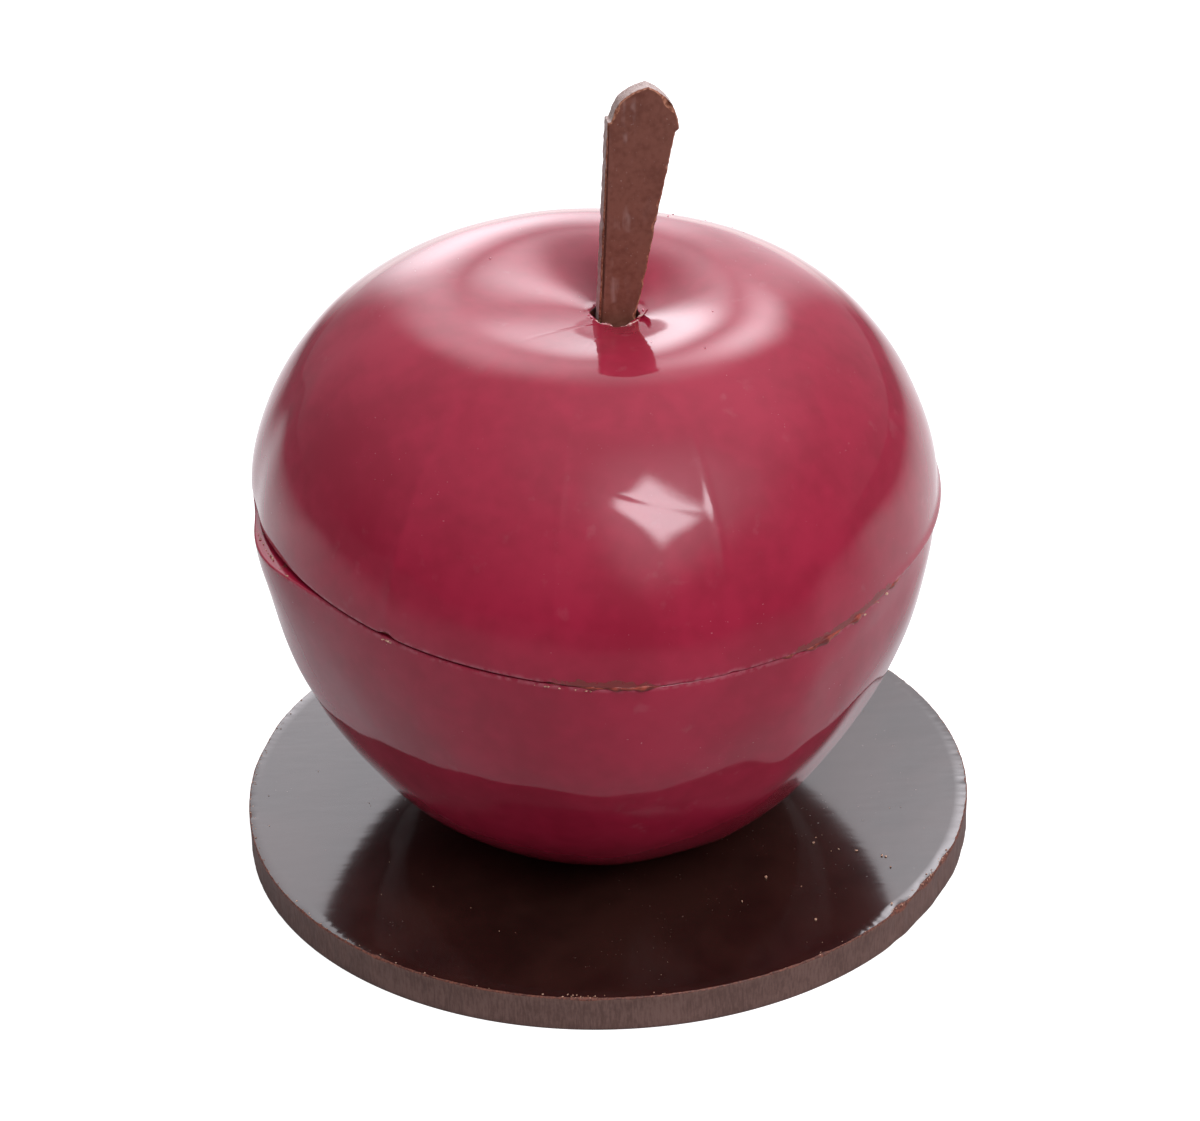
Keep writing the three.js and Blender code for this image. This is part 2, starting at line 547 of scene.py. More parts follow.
@dataclass(frozen=True)
class CrimsonGloss:
    """Coloured cocoa butter with a gloss from the mould, faintly mottled, scuffed and dusty, with a painted
    highlight along the rims' corners.
    """

    bright: Colour = (0.35, 0.0125, 0.043)
    deep: Colour = (0.28, 0.009, 0.032)
    # This pale colour serves real dust and scuffs, and also the painted highlight on the rims' corners.
    pale_marks_and_highlight: Colour = linear(205, 150, 160)
    smear: Colour = linear(120, 48, 44)
    gloss: float = 0.05
    haze: float = 0.38
    haze_weight: float = 0.088

    def material(self) -> bpy.types.Material:
        """Makes the material."""
        r, material = Recipe.for_material("crimson_gloss")
        broad = r.cloud(11, 3)
        fine = r.cloud(1.7, 3)
        mottle = (broad * 0.65 + fine * 0.35).between(0.36, 0.64)
        colour = r.blend(mottle, self.deep, self.bright)
        dust = r.cloud(0.26, 1).between(0.76, 0.79) * r.cloud(7, 1).between(0.5, 0.7)
        scuff = r.cloud(2.2, 4).between(0.6, 0.75) * r.cloud(12, 1).between(0.5, 0.62)
        # Painted highlight: where a rim's corner catches light, the points marked edge are lightened toward
        # the pale colour.
        edge = r.painted("edge") * r.cloud(0.8, 2).between(0.35, 0.65)
        colour = r.blend((dust * 0.3 + scuff * 0.05 + edge * 0.22), colour, self.pale_marks_and_highlight)
        brown = (r.painted("smear") + r.cloud(0.9, 3) - 0.5).between(0.42, 0.56)
        colour = r.blend(brown * 0.85, colour, self.smear)
        roughness = self.gloss + fine.between(0.3, 0.8) * 0.035 + scuff * 0.06 + dust * 0.3 + brown * 0.25
        waves = r.relief(r.cloud(6.5, 1), 0.035)
        peel = r.relief(r.cloud(0.9, 2), 0.0022, waves)
        r.surface(
            {
                "Base Color": colour,
                "Roughness": roughness,
                "IOR": 1.5,
                "Coat Weight": self.haze_weight * broad.between(0.2, 0.8, 0.75, 1.25) + scuff * 0.12,
                "Coat Roughness": self.haze,
                "Coat IOR": 1.5,
                "Normal": peel,
            }
        )
        return material


@dataclass(frozen=True)
class BareChocolate:
    """Chocolate that shows where there is no coloured skin: broken rims, the hole, smears and joins."""

    name: str
    light: Colour
    dark: Colour
    grain: float
    shine: float = 0.55

    def material(self) -> bpy.types.Material:
        """Makes the material."""
        r, material = Recipe.for_material(self.name)
        grain = r.cloud(self.grain, 4)
        colour = r.blend(grain.between(0.35, 0.65), self.dark, self.light)
        r.surface(
            {
                "Base Color": colour,
                "Roughness": self.shine + grain * 0.25 - 0.12,
                "IOR": 1.45,
                "Normal": r.relief(grain, self.grain * 0.12),
            }
        )
        return material


@dataclass(frozen=True)
class MilkSatin:
    """The flat face of milk chocolate, with a thin pale bloom, short strokes and stray crumbs."""

    light: Colour = linear(122, 75, 61)
    dark: Colour = linear(105, 60, 47)
    bloom: Colour = linear(178, 150, 144)
    streak_at: float = 0.24

    def material(self) -> bpy.types.Material:
        """Makes the material."""
        r, material = Recipe.for_material("milk_satin")
        broad = r.cloud(4, 3)
        fine = r.cloud(0.5, 3)
        colour = r.blend((broad * 0.6 + fine * 0.4).between(0.38, 0.62), self.dark, self.light)
        strokes = r.cloud(0.8, 3, r.place((1.0, 1.0, 0.16)))
        streak = abs(r.painted("across") - self.streak_at).between(0.05, 0.16, 1.0, 0.12)
        film = strokes.between(0.46, 0.72) * r.cloud(2.4, 2).between(0.45, 0.6) * streak
        specks = r.cloud(0.24, 1).between(0.73, 0.77)
        colour = r.blend(film * 0.4 + specks * 0.35, colour, self.bloom)
        normal = r.relief(fine, 0.02, r.relief(broad, 0.08))
        rough = 0.42 + film * 0.2 + fine * 0.1
        r.surface({"Base Color": colour, "Roughness": rough, "IOR": 1.45, "Normal": normal})
        return material


@dataclass(frozen=True)
class CutEdge:
    """A cut or snapped side of chocolate, with fine lines along one axis and pale grain."""

    name: str
    light: Colour
    dark: Colour
    lines: tuple[float, float, float]
    pitch: float
    depth: float = 0.05

    def material(self) -> bpy.types.Material:
        """Makes the material."""
        r, material = Recipe.for_material(self.name)
        lines = r.cloud(self.pitch, 3, r.place(self.lines))
        grain = r.cloud(0.35, 3)
        broad = r.cloud(5, 2)
        tone = lines * 0.5 + grain * 0.2 + broad * 0.3
        colour = r.blend(tone.between(0.36, 0.62), self.dark, self.light)
        normal = r.relief(grain, 0.02, r.relief(lines, self.depth))
        r.surface({"Base Color": colour, "Roughness": 0.5 + grain * 0.2, "IOR": 1.45, "Normal": normal})
        return material


@dataclass(frozen=True)
class DarkGloss:
    """The glossy top of tempered dark chocolate, with faint ripples and a little dust."""

    light: Colour = linear(46, 27, 22)
    dark: Colour = linear(33, 19, 15)
    dust: Colour = linear(120, 90, 80)

    def material(self) -> bpy.types.Material:
        """Makes the material."""
        r, material = Recipe.for_material("dark_gloss")
        broad = r.cloud(8, 3)
        colour = r.blend(broad.between(0.35, 0.65), self.dark, self.light)
        specks = r.cloud(0.3, 1).between(0.75, 0.78) * r.cloud(9, 1).between(0.45, 0.7)
        colour = r.blend(specks * 0.5, colour, self.dust)
        ripples = r.cloud(2.4, 2, r.place((0.45, 1.6, 1.0)))
        normal = r.relief(ripples, 0.011, r.relief(broad, 0.02))
        r.surface(
            {
                "Base Color": colour,
                "Roughness": 0.075 + broad * 0.06 + specks * 0.3,
                "IOR": 1.72,
                "Normal": normal,
            }
        )
        return material


@dataclass(frozen=True)
class Larder:
    """All the finished materials."""

    crimson: bpy.types.Material
    shell_inside: bpy.types.Material
    joining: bpy.types.Material
    crumb: bpy.types.Material
    skin_bits: bpy.types.Material
    cream: bpy.types.Material
    milk: bpy.types.Material
    milk_cut: bpy.types.Material
    milk_edge: bpy.types.Material
    dark: bpy.types.Material
    dark_cut: bpy.types.Material
    dark_edge: bpy.types.Material

    @classmethod
    def stocked(cls) -> Larder:
        """Makes every material once.

        Returns:
            The stocked larder.
        """
        along_stem = (9.0, 3.0, 1.2)
        upright = (1.0, 1.0, 0.2)
        finishes = {
            "crimson": CrimsonGloss(),
            "shell_inside": BareChocolate("shell_inside", linear(96, 44, 36), linear(48, 20, 18), 0.6),
            "joining": BareChocolate("joining_chocolate", linear(166, 72, 56), linear(104, 36, 34), 0.8, 0.4),
            "crumb": BareChocolate("crumb_tan", linear(214, 176, 150), linear(150, 104, 82), 0.25, 0.7),
            "skin_bits": BareChocolate("skin_bits", linear(238, 170, 184), linear(186, 84, 106), 0.4, 0.5),
            "cream": BareChocolate("cream_break", linear(226, 196, 186), linear(170, 96, 96), 0.4, 0.6),
            "milk": MilkSatin(),
            "milk_cut": CutEdge(
                "milk_cut", linear(206, 190, 184), linear(150, 122, 112), along_stem, 0.7, 0.03
            ),
            "milk_edge": BareChocolate("milk_edge", linear(178, 122, 96), linear(122, 68, 48), 0.3, 0.6),
            "dark": DarkGloss(),
            "dark_cut": CutEdge("dark_cut", linear(110, 84, 76), linear(88, 64, 57), upright, 0.22, 0.02),
            "dark_edge": BareChocolate("dark_edge", linear(122, 72, 56), linear(74, 42, 34), 0.25, 0.5),
        }
        return cls(**{name: finish.material() for name, finish in finishes.items()})


# ---- The apple ----


@dataclass(frozen=True)
class Seam:
    """The plane where the two halves meet, which tilts a little."""

    height: float = 38.55
    slope_x: float = -0.034
    slope_y: float = 0.052

    def carry(self, x: np.ndarray, y: np.ndarray, rise: np.ndarray) -> np.ndarray:
        """Carries places measured from the seam's plane into the frame.

        Args:
            x: Distance along the plane towards +X.
            y: Distance along the plane towards +Y.
            rise: Height above the plane.

        Returns:
            The places, with x, y and z last.
        """
        x, y, rise = np.broadcast_arrays(x, y, rise)
        across = x - self.slope_x * rise
        back = y - self.slope_y * rise
        return np.stack([across, back, self.height + rise + self.slope_x * x + self.slope_y * y], -1)


@dataclass(frozen=True)
class Girth:
    """How wide the two rims are at each angle, and how open the seam is."""

    radius: float = 33.95
    lobe_share: float = 0.024
    lobe_bearing: float = 37.5
    bulges: tuple[Bulge, ...] = (
        Bulge(273, 9, 0.42),
        Bulge(304, 3.5, 0.28),
        Bulge(327, 9, -0.42),
        Bulge(187, 4, -0.3),
    )
    ledge: tuple[Bulge, ...] = (Bulge(200, 8, 1.25),)
    tuck: float = 0.15
    closed_gap: float = 0.07
    open_gap: tuple[Bulge, ...] = (
        Bulge(202, 12, 0.2),
        Bulge(228, 13, 0.16),
        Bulge(250, 8, 0.12),
        Bulge(90, 40, 0.12),
    )

    def upper(self, angles: np.ndarray) -> np.ndarray:
        """Gives the upper rim's radius at angles."""
        lobes = 1 + self.lobe_share * np.cos(3 * (angles - math.radians(self.lobe_bearing)))
        return self.radius * lobes + swell(self.bulges, angles)

    def lower(self, angles: np.ndarray) -> np.ndarray:
        """Gives the lower rim's radius at angles, without its ledge."""
        return self.upper(angles) - self.tuck

    def gap(self, angles: np.ndarray) -> np.ndarray:
        """Gives the height of the seam's gap at angles."""
        return self.closed_gap + swell(self.open_gap, angles)


@dataclass
class UpperShell:
    """The upper half: its rim, its shoulders, the dimple and the hole for the stem."""

    seam: Seam
    girth: Girth
    ridge_radius: float = 13.8
    crown_height: float = 22.0
    crown_power: float = 1.22
    dimple_slope: float = 0.34
    crest_ease: float = 4.0
    dimple_reach: float = 26.0
    dimple_centre: tuple[float, float] = (-0.3, -0.5)
    hole_radius: float = 2.45
    hole_centre: tuple[float, float] = (1.5, 0.1)
    hole_depth: float = 5.9
    corner: float = 0.16
    segments: int = 480
    crown_rows: int = 104
    dimple_rows: int = 64
    flash: tuple[Bulge, ...] = (Bulge(352, 16, 0.3), Bulge(12, 10, 0.18))
    notches: tuple[Bulge, ...] = (Bulge(233.5, 0.8, 0.42), Bulge(262, 0.5, 0.15), Bulge(290, 0.6, 0.12))
    smears: tuple[Bulge, ...] = (
        Bulge(266, 5, 0.55),
        Bulge(274, 4, 0.6),
        Bulge(308, 9, 0.75),
        Bulge(322, 6, 0.5),
    )
    creases: tuple[Crease, ...] = (
        Crease((-2.2, -28.0, 54.0), (11.6, -28.4, 50.0), 0.22, 0.065),
    )

    def angles(self) -> np.ndarray:
        """Gives the angles of the grid, closer together at the front."""
        turn = np.linspace(0, 2 * math.pi, 721)[:-1]
        density = 1 + swell((Bulge(281, 12, 1.4), Bulge(300, 40, 0.4)), turn)
        return spread_out(self.segments + 1, density)[:-1] * 2 * math.pi

    def build(self, larder: Larder) -> bpy.types.Object:
        """Builds and dresses the half.

        Args:
            larder: The materials.

        Returns:
            The piece.
        """
        angles = self.angles()[None, :]
        rim = self.girth.upper(angles)
        half_gap = self.girth.gap(angles) / 2
        radius, rise = self._outline()
        ridge, hole = self.ridge_radius, self.hole_radius
        outside = np.arange(len(radius))[:, None] < self.crown_rows
        wide = np.clip((radius - ridge) / (self.girth.radius - ridge), 0, 1)
        inward = np.where(outside, 0.0, np.clip((ridge - radius) / (ridge - hole), 0, 1))
        inward = inward * inward * (3 - 2 * inward)
        lift = half_gap + self.corner + swell(self.notches, angles)
        near = np.clip((self.dimple_reach - radius) / (self.dimple_reach - ridge), 0, 1)
        near = near * near * (3 - 2 * near)
        reach = radius * (1 + (rim / self.girth.radius - 1) * wide)
        reach = reach + swell(self.flash, angles) * np.exp(-((rise / 0.55) ** 2)) * outside
        off = [near * d + inward * (h - d) for d, h in zip(self.dimple_centre, self.hole_centre)]
        x, y = off[0] + reach * np.cos(angles), off[1] + reach * np.sin(angles)
        wall = self.seam.carry(x, y, lift + rise * (1 - lift / float(rise.max())))
        wall = self._weathered(wall, rise, outside)
        under = self._underside(angles, reach[:1], lift)
        inside = self._hole(angles, wall[-1])
        grid = np.concatenate([under, wall, inside])
        slots = [1] * (len(under) - 1) + [0] * (len(wall) + 2) + [1] * (len(inside) - 1)
        skin = Skin.empty()
        skin.add_rings(grid, slots)
        piece = skin.make("upper_shell", [larder.crimson, larder.shell_inside])
        self._paint(piece, angles, rise, len(under))
        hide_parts("upper_half")
        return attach(piece, "root")

    def _outline(self) -> tuple[np.ndarray, np.ndarray]:
        """Works out the outline from the rim over the ridge to the hole.

        Returns:
            The radius and the rise of each ring, each as a column.
        """
        along = np.linspace(0, 1, 400)
        at_crease = 1 + 1.6 * np.exp(-(((along - 0.52) / 0.12) ** 2)) + np.exp(-((along / 0.04) ** 2))
        turn = spread_out(self.crown_rows + 1, at_crease)[:-1, None] * math.pi / 2
        crown_radius = self.ridge_radius + (self.girth.radius - self.ridge_radius) * np.cos(turn)
        crown_rise = self.crown_height * np.sin(turn) ** self.crown_power
        at_lip = 1 + 1.5 * np.exp(-(((along - 1) / 0.12) ** 2))
        inside = spread_out(self.dimple_rows, at_lip)[:, None] * (self.ridge_radius - self.hole_radius)
        fall = self.dimple_slope * (np.hypot(inside, self.crest_ease) - self.crest_ease)
        radius = np.concatenate([crown_radius, self.ridge_radius - inside])
        return radius, np.concatenate([crown_rise, self.crown_height - fall])

    def _weathered(self, wall: np.ndarray, rise: np.ndarray, outside: np.ndarray) -> np.ndarray:
        """Gives the smooth wall its unevenness.

        Args:
            wall: The rings of the wall.
            rise: The rise of each ring.
            outside: Which rings are outside the ridge.

        Returns:
            The rings, moved along their normals.
        """
        settle = np.where(outside, np.clip(rise / 3, 0, 1), 1.0)
        from_hole = (np.arange(len(wall))[:, None] - len(wall) + 1) / 6
        torn = np.exp(-(from_hole**2))
        bumps = Ripple(11, 19, 0.045).at(wall) + Ripple(12, 8, 0.012).at(wall)
        bumps = bumps + sum(c.at(wall) for c in self.creases)
        moved = wall + grid_normals(wall) * (bumps * settle)[..., None]
        middle = wall[-1].mean(axis=0)
        pull = unit(moved - middle) * (Ripple(13, 1.5, 0.14).at(wall) * torn)[..., None]
        return moved + pull

    def _underside(self, angles: np.ndarray, reach: np.ndarray, lift: np.ndarray) -> np.ndarray:
        """Builds the rings from the middle of the flat underside out to the rim's rounded corner.

        Args:
            angles: The angles of the grid.
            reach: The wall's radius at its foot.
            lift: The wall's height at its foot.

        Returns:
            The rings.
        """
        rings = []
        for share in (0.25, 0.6, 0.9, 0.97):
            flat = (reach - self.corner) * share
            rings.append(self.seam.carry(flat * np.cos(angles), flat * np.sin(angles), lift - self.corner))
        for turn in np.radians([0, 25, 50, 72]):
            out = reach - self.corner * (1 - math.sin(turn))
            down = lift - self.corner * math.cos(turn)
            rings.append(self.seam.carry(out * np.cos(angles), out * np.sin(angles), down))
        return np.concatenate(rings)

    def _hole(self, angles: np.ndarray, brim: np.ndarray) -> np.ndarray:
        """Builds the rings from the hole's torn lip down to its floor.

        Args:
            angles: The angles of the grid.
            brim: The last ring of the dimple.

        Returns:
            The rings.
        """
        middle = brim.mean(axis=0)
        inward = unit((middle - brim) * np.array([1.0, 1.0, 0.0]))
        rings = []
        lip = ((0.07, 0.03), (0.13, 0.1), (0.16, 0.22), (0.17, 0.6), (0.17, 2.5), (0.17, self.hole_depth))
        for step, drop in lip:
            ring = brim + inward * step - np.array([0.0, 0.0, drop])
            if drop > 1:
                ring[:, 2] = middle[2] - drop
            rings.append(ring[None])
        rings.append((rings[-1] + (middle - rings[-1]) * np.array([0.5, 0.5, 0.0])))
        return np.concatenate(rings)

    def _paint(self, piece: bpy.types.Object, angles: np.ndarray, rise: np.ndarray, first: int) -> None:
        """Stores the rim's corner, which its material lightens as a painted highlight, and where melted
        chocolate was smeared on it.

        Args:
            piece: The piece.
            angles: The angles of the grid.
            rise: The rise of each ring of the wall.
            first: The number of rings below the wall.
        """
        ring_rise = np.concatenate([np.zeros((first, 1)), np.maximum(rise, 0)])
        # Painted highlight: the corner just above the rim is marked to be painted pale where it catches
        # light.
        edge = np.exp(-((ring_rise / 0.22) ** 2)) * np.ones_like(angles)
        edge[: first - 4] = 0
        smear = swell(self.smears, angles) * np.exp(-((ring_rise / 0.9) ** 2))
        paint_points(piece, "edge", edge)
        paint_points(piece, "smear", smear)


@dataclass
class LowerShell:
    """The lower half, which narrows to a foot that stands on the disc."""

    seam: Seam
    girth: Girth
    disc_top: float
    foot_radius: float = 12.6
    foot_centre: tuple[float, float] = (-0.85, -0.2)
    width_power: float = 1.3
    height_power: float = 1.03
    corner: float = 0.18
    segments: int = 420
    rows: int = 110

    def build(self, larder: Larder) -> bpy.types.Object:
        """Builds and dresses the half.

        Args:
            larder: The materials.

        Returns:
            The piece.
        """
        angles = np.linspace(0, 2 * math.pi, self.segments + 1)[None, :-1]
        rim = self.girth.lower(angles)
        turn = (math.pi / 2) * (1 - np.linspace(0, 1, self.rows) ** 0.9)[:, None]
        share = 1 - np.sin(turn) ** self.height_power
        radius = self.foot_radius + (rim - self.foot_radius) * np.cos(turn) ** self.width_power
        ledge = swell(self.girth.ledge, angles)
        radius = radius + ledge * share**5
        drop = self.girth.gap(angles) / 2 + self.corner + ledge * 0.35
        wall = self._carry(radius, angles, share, drop)
        settle = np.clip((1 - share) * 12, 0, 1) * np.clip(share * 10, 0, 1)
        bumps = Ripple(21, 15, 0.06).at(wall) + Ripple(22, 6, 0.014).at(wall)
        wall = wall + grid_normals(wall) * (bumps * settle)[..., None]
        lid = []
        for bend in np.radians([25, 50, 75, 90]):
            inner = radius[-1:] - self.corner * (1 - math.cos(bend))
            lid.append(self._carry(inner, angles, 1.0, drop - self.corner * math.sin(bend)))
        level = self.girth.gap(angles) / 2
        for inset in (1.0, 1.6, 3.0, 12.0):
            height = drop - self.corner if inset < 1.0 else level
            lid.append(self._carry(radius[-1:] - ledge - inset, angles, 1.0, height))
        grid = np.concatenate([wall, *lid])
        skin = Skin.empty()
        slots = [1] + [0] * (len(wall) + 4) + [1] * 4
        skin.add_rings(grid, slots)
        piece = skin.make("lower_shell", [larder.crimson, larder.shell_inside])
        # Painted highlight: the rim's corner is marked so that its material paints it pale where it catches
        # light.
        edge = np.zeros(grid.shape[:2])
        edge[len(wall) - 1 : len(wall) + 1] = 1.0
        on_ledge = np.zeros_like(edge)
        on_ledge[len(wall) - 2 : len(wall) + 6] = 1.0
        smear = swell((Bulge(194, 1.5, 0.42), Bulge(206, 2, 0.45)), angles) * on_ledge
        paint_points(piece, "edge", edge)
        paint_points(piece, "smear", smear)
        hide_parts("lower_half")
        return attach(piece, "root")

    def _carry(
        self, radius: np.ndarray, angles: np.ndarray, share: np.ndarray | float, drop: np.ndarray
    ) -> np.ndarray:
        """Carries places of the half into the frame.

        Args:
            radius: Distance from the axis.
            angles: Angle round the axis.
            share: 0 at the foot and 1 at the seam.
            drop: What is taken off the seam's height.

        Returns:
            The places, with x, y and z last.
        """
        x, y = radius * np.cos(angles), radius * np.sin(angles)
        top = self.seam.height - drop + self.seam.slope_x * x + self.seam.slope_y * y
        left = 1 - share
        z = self.disc_top + share * (top - self.disc_top)
        x, y = x + self.foot_centre[0] * left, y + self.foot_centre[1] * left
        return np.stack(np.broadcast_arrays(x, y, z), -1)


@dataclass
class SeamChocolate:
    """The melted chocolate that joins the halves: a dark band in the gap, squeezed out in places."""

    seam: Seam
    girth: Girth
    inset: float = 0.42
    squeezed: tuple[Bulge, ...] = (
        Bulge(268, 5, 0.52),
        Bulge(276, 3, 0.5),
        Bulge(303, 5, 0.52),
        Bulge(316, 7, 0.6),
        Bulge(331, 5, 0.62),
        Bulge(342, 4, 0.55),
    )
    segments: int = 720

    def build(self, larder: Larder) -> bpy.types.Object:
        """Builds and dresses the band.

        Args:
            larder: The materials.

        Returns:
            The piece.
        """
        angles = np.linspace(0, 2 * math.pi, self.segments + 1)[None, :-1]
        on_rim = np.stack([33 * np.cos(angles), 33 * np.sin(angles), 0 * angles], -1)
        uneven = Ripple(31, 2.4, 0.07).at(on_rim) + Ripple(32, 0.9, 0.03).at(on_rim)
        out = swell(self.squeezed, angles)
        radius = self.girth.lower(angles) - self.inset + out + uneven
        half = self.girth.gap(angles) / 2 + np.clip(out - 0.3, 0, 1) * (0.5 + uneven * 3)
        rings = []
        inner = self.girth.lower(angles) - 3
        for turn in np.radians([-90, -60, -30, 0, 30, 60, 90]):
            bulge = radius - 0.14 * (1 - math.cos(turn))
            x, y = bulge * np.cos(angles), bulge * np.sin(angles)
            rings.append(self.seam.carry(x, y, half * math.sin(turn)))
        for side in (1, -1):
            rings.append(self.seam.carry(inner * np.cos(angles), inner * np.sin(angles), 0.9 * side * half))
        grid = np.concatenate(rings)
        skin = Skin.empty()
        skin.add_rings(np.concatenate([grid, grid[:1]]), [0] * (len(grid) + 2), bottom=False, top=False)
        piece = skin.make("seam_chocolate", [larder.joining])
        weld(piece)
        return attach(piece, "root")


# ---- The stem ----


@dataclass
class StemPlaque:
    """A flat plaque cut from milk chocolate, widening upwards to a pointed arch."""

    base: tuple[float, float, float] = (2.1, -0.9, 57.23)
    lean: float = 8.0
    turn: float = 9.0
    thickness: float = 1.9
    sunk: float = 5.0
    half_width: float = 1.76
    flare: float = 0.077
    shoulder: float = 19.6
    arch_rise: float = 4.35
    arch_bow: float = 0.8
    arch_shift: float = 0.35
    apex_shift: float = 0.15
    bevel: float = 0.13
    notch_place: tuple[float, float] = (2.2, 22.6)
    notch_size: tuple[float, float] = (0.7, 0.8)
    spacing: float = 0.16

    def outline(self) -> np.ndarray:
        """Works out the outline in the plaque's own plane, anticlockwise.

        Returns:
            Places across and up the plaque, at close and even steps.
        """
        low = self.half_width - self.flare * self.sunk
        high = self.half_width + self.flare * self.shoulder
        right = (high + self.arch_shift, self.shoulder + self.arch_shift)
        apex = (self.apex_shift, self.shoulder + self.arch_rise)
        left = (self.arch_shift - high, self.shoulder + 2 * self.arch_shift)
        shank = [(-low, -self.sunk), (low, -self.sunk), (high, self.shoulder), right]
        arch = [*self._bowed(right, apex), *self._bowed(apex, left), (-high, left[1])]
        corners = np.array(shank + arch)
        closed = np.vstack([corners, corners[:1]])
        steps = np.linalg.norm(np.diff(closed, axis=0), axis=1)
        at = np.concatenate([[0], np.cumsum(steps)])
        count = int(at[-1] / self.spacing)
        where = np.linspace(0, at[-1], count + 1)[:-1]
        return np.stack([np.interp(where, at, closed[:, i]) for i in (0, 1)], -1)

    def _bowed(self, start: tuple[float, float], end: tuple[float, float]) -> list[tuple[float, float]]:
        """Draws one side of the arch, bowed outwards.

        Args:
            start: Where it starts, across and up the plaque.
            end: Where it ends.

        Returns:
            Its points without the start.
        """
        along = np.linspace(0, 1, 13)[1:]
        run, climb = end[0] - start[0], end[1] - start[1]
        bow = 4 * self.arch_bow * along * (1 - along) / math.hypot(run, climb)
        return list(zip(start[0] + run * along + climb * bow, start[1] + climb * along - run * bow))

    def build(self, larder: Larder) -> bpy.types.Object:
        """Builds and dresses the plaque.

        Args:
            larder: The materials.

        Returns:
            The piece.
        """
        flat = self.outline()
        ahead = np.roll(flat, -1, 0) - np.roll(flat, 1, 0)
        outward = unit(np.stack([ahead[:, 1], -ahead[:, 0]], -1))
        spot = np.concatenate([flat, np.zeros((len(flat), 1))], -1)
        ragged = Ripple(41, 1.1, 0.022).at(spot) + Ripple(42, 0.45, 0.012).at(spot)
        chips = np.clip(Ripple(43, 1.6, 1.0).at(spot) - 0.6, 0, 1.5)
        off = (flat - np.array(self.notch_place)) / np.array(self.notch_size)
        notch = np.exp(-(off[:, 0] ** 2) - off[:, 1] ** 2)
        front_bevel = self.bevel + 0.16 * chips + 0.42 * notch
        back_bevel = self.bevel + 0.12 * np.roll(chips, 31)
        half = self.thickness / 2
        levels = [(-half, back_bevel), (-half + self.bevel, 0 * chips)]
        levels += [(depth, 0 * chips) for depth in np.linspace(-half + 0.3, half - 0.3, 7)]
        levels += [(half - self.bevel - 0.12 * chips - 0.2 * notch, 0 * chips), (half, front_bevel)]
        rings = []
        for number, (depth, inset) in enumerate(levels):
            groove = 0.02 * math.sin(number * 2.1) + Ripple(44 + number, 2.2, 0.012).at(spot)
            on_side = 1 < number < len(levels) - 2
            edge = flat + outward * (ragged + (groove if on_side else 0.0) - inset)[:, None]
            rings.append(self._carry(edge, depth + np.zeros(len(flat))))
        grid = np.stack(rings)[:, ::-1]
        skin = Skin.empty()
        first = skin.add_rings(grid, [0] + [2] + [1] * (len(levels) - 3) + [2] + [0], bottom=False, top=False)
        count = grid.shape[1]
        last = first + (len(levels) - 1) * count
        skin.add_faces([list(range(first + count - 1, first - 1, -1))], 0)
        skin.add_faces([list(range(last, last + count))], 0)
        piece = skin.make("stem_plaque", [larder.milk, larder.milk_cut, larder.milk_edge], flat=(0,))
        recalculate(piece)
        across = 0.5 + flat[:, 0] / (2 * (self.half_width + self.flare * flat[:, 1]))
        paint_points(piece, "across", np.tile(across[::-1], len(levels)))
        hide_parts("stem")
        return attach(piece, "root")

    def _carry(self, flat: np.ndarray, depth: np.ndarray) -> np.ndarray:
        """Carries places in the plaque's plane into the frame.

        Args:
            flat: Places across and up the plaque.
            depth: Distance from its middle towards the front.

        Returns:
            The places, with x, y and z last.
        """
        turn, lean = math.radians(self.turn), math.radians(self.lean)
        level = np.array([math.cos(turn), math.sin(turn), 0.0])
        front = np.array([math.sin(turn), -math.cos(turn), 0.0])
        upright = np.array([0.0, 0.0, 1.0])
        across = level * math.cos(lean) - upright * math.sin(lean)
        up = upright * math.cos(lean) + level * math.sin(lean)
        return np.array(self.base) + flat[:, :1] * across + flat[:, 1:] * up + depth[:, None] * front


# ---- The disc ----


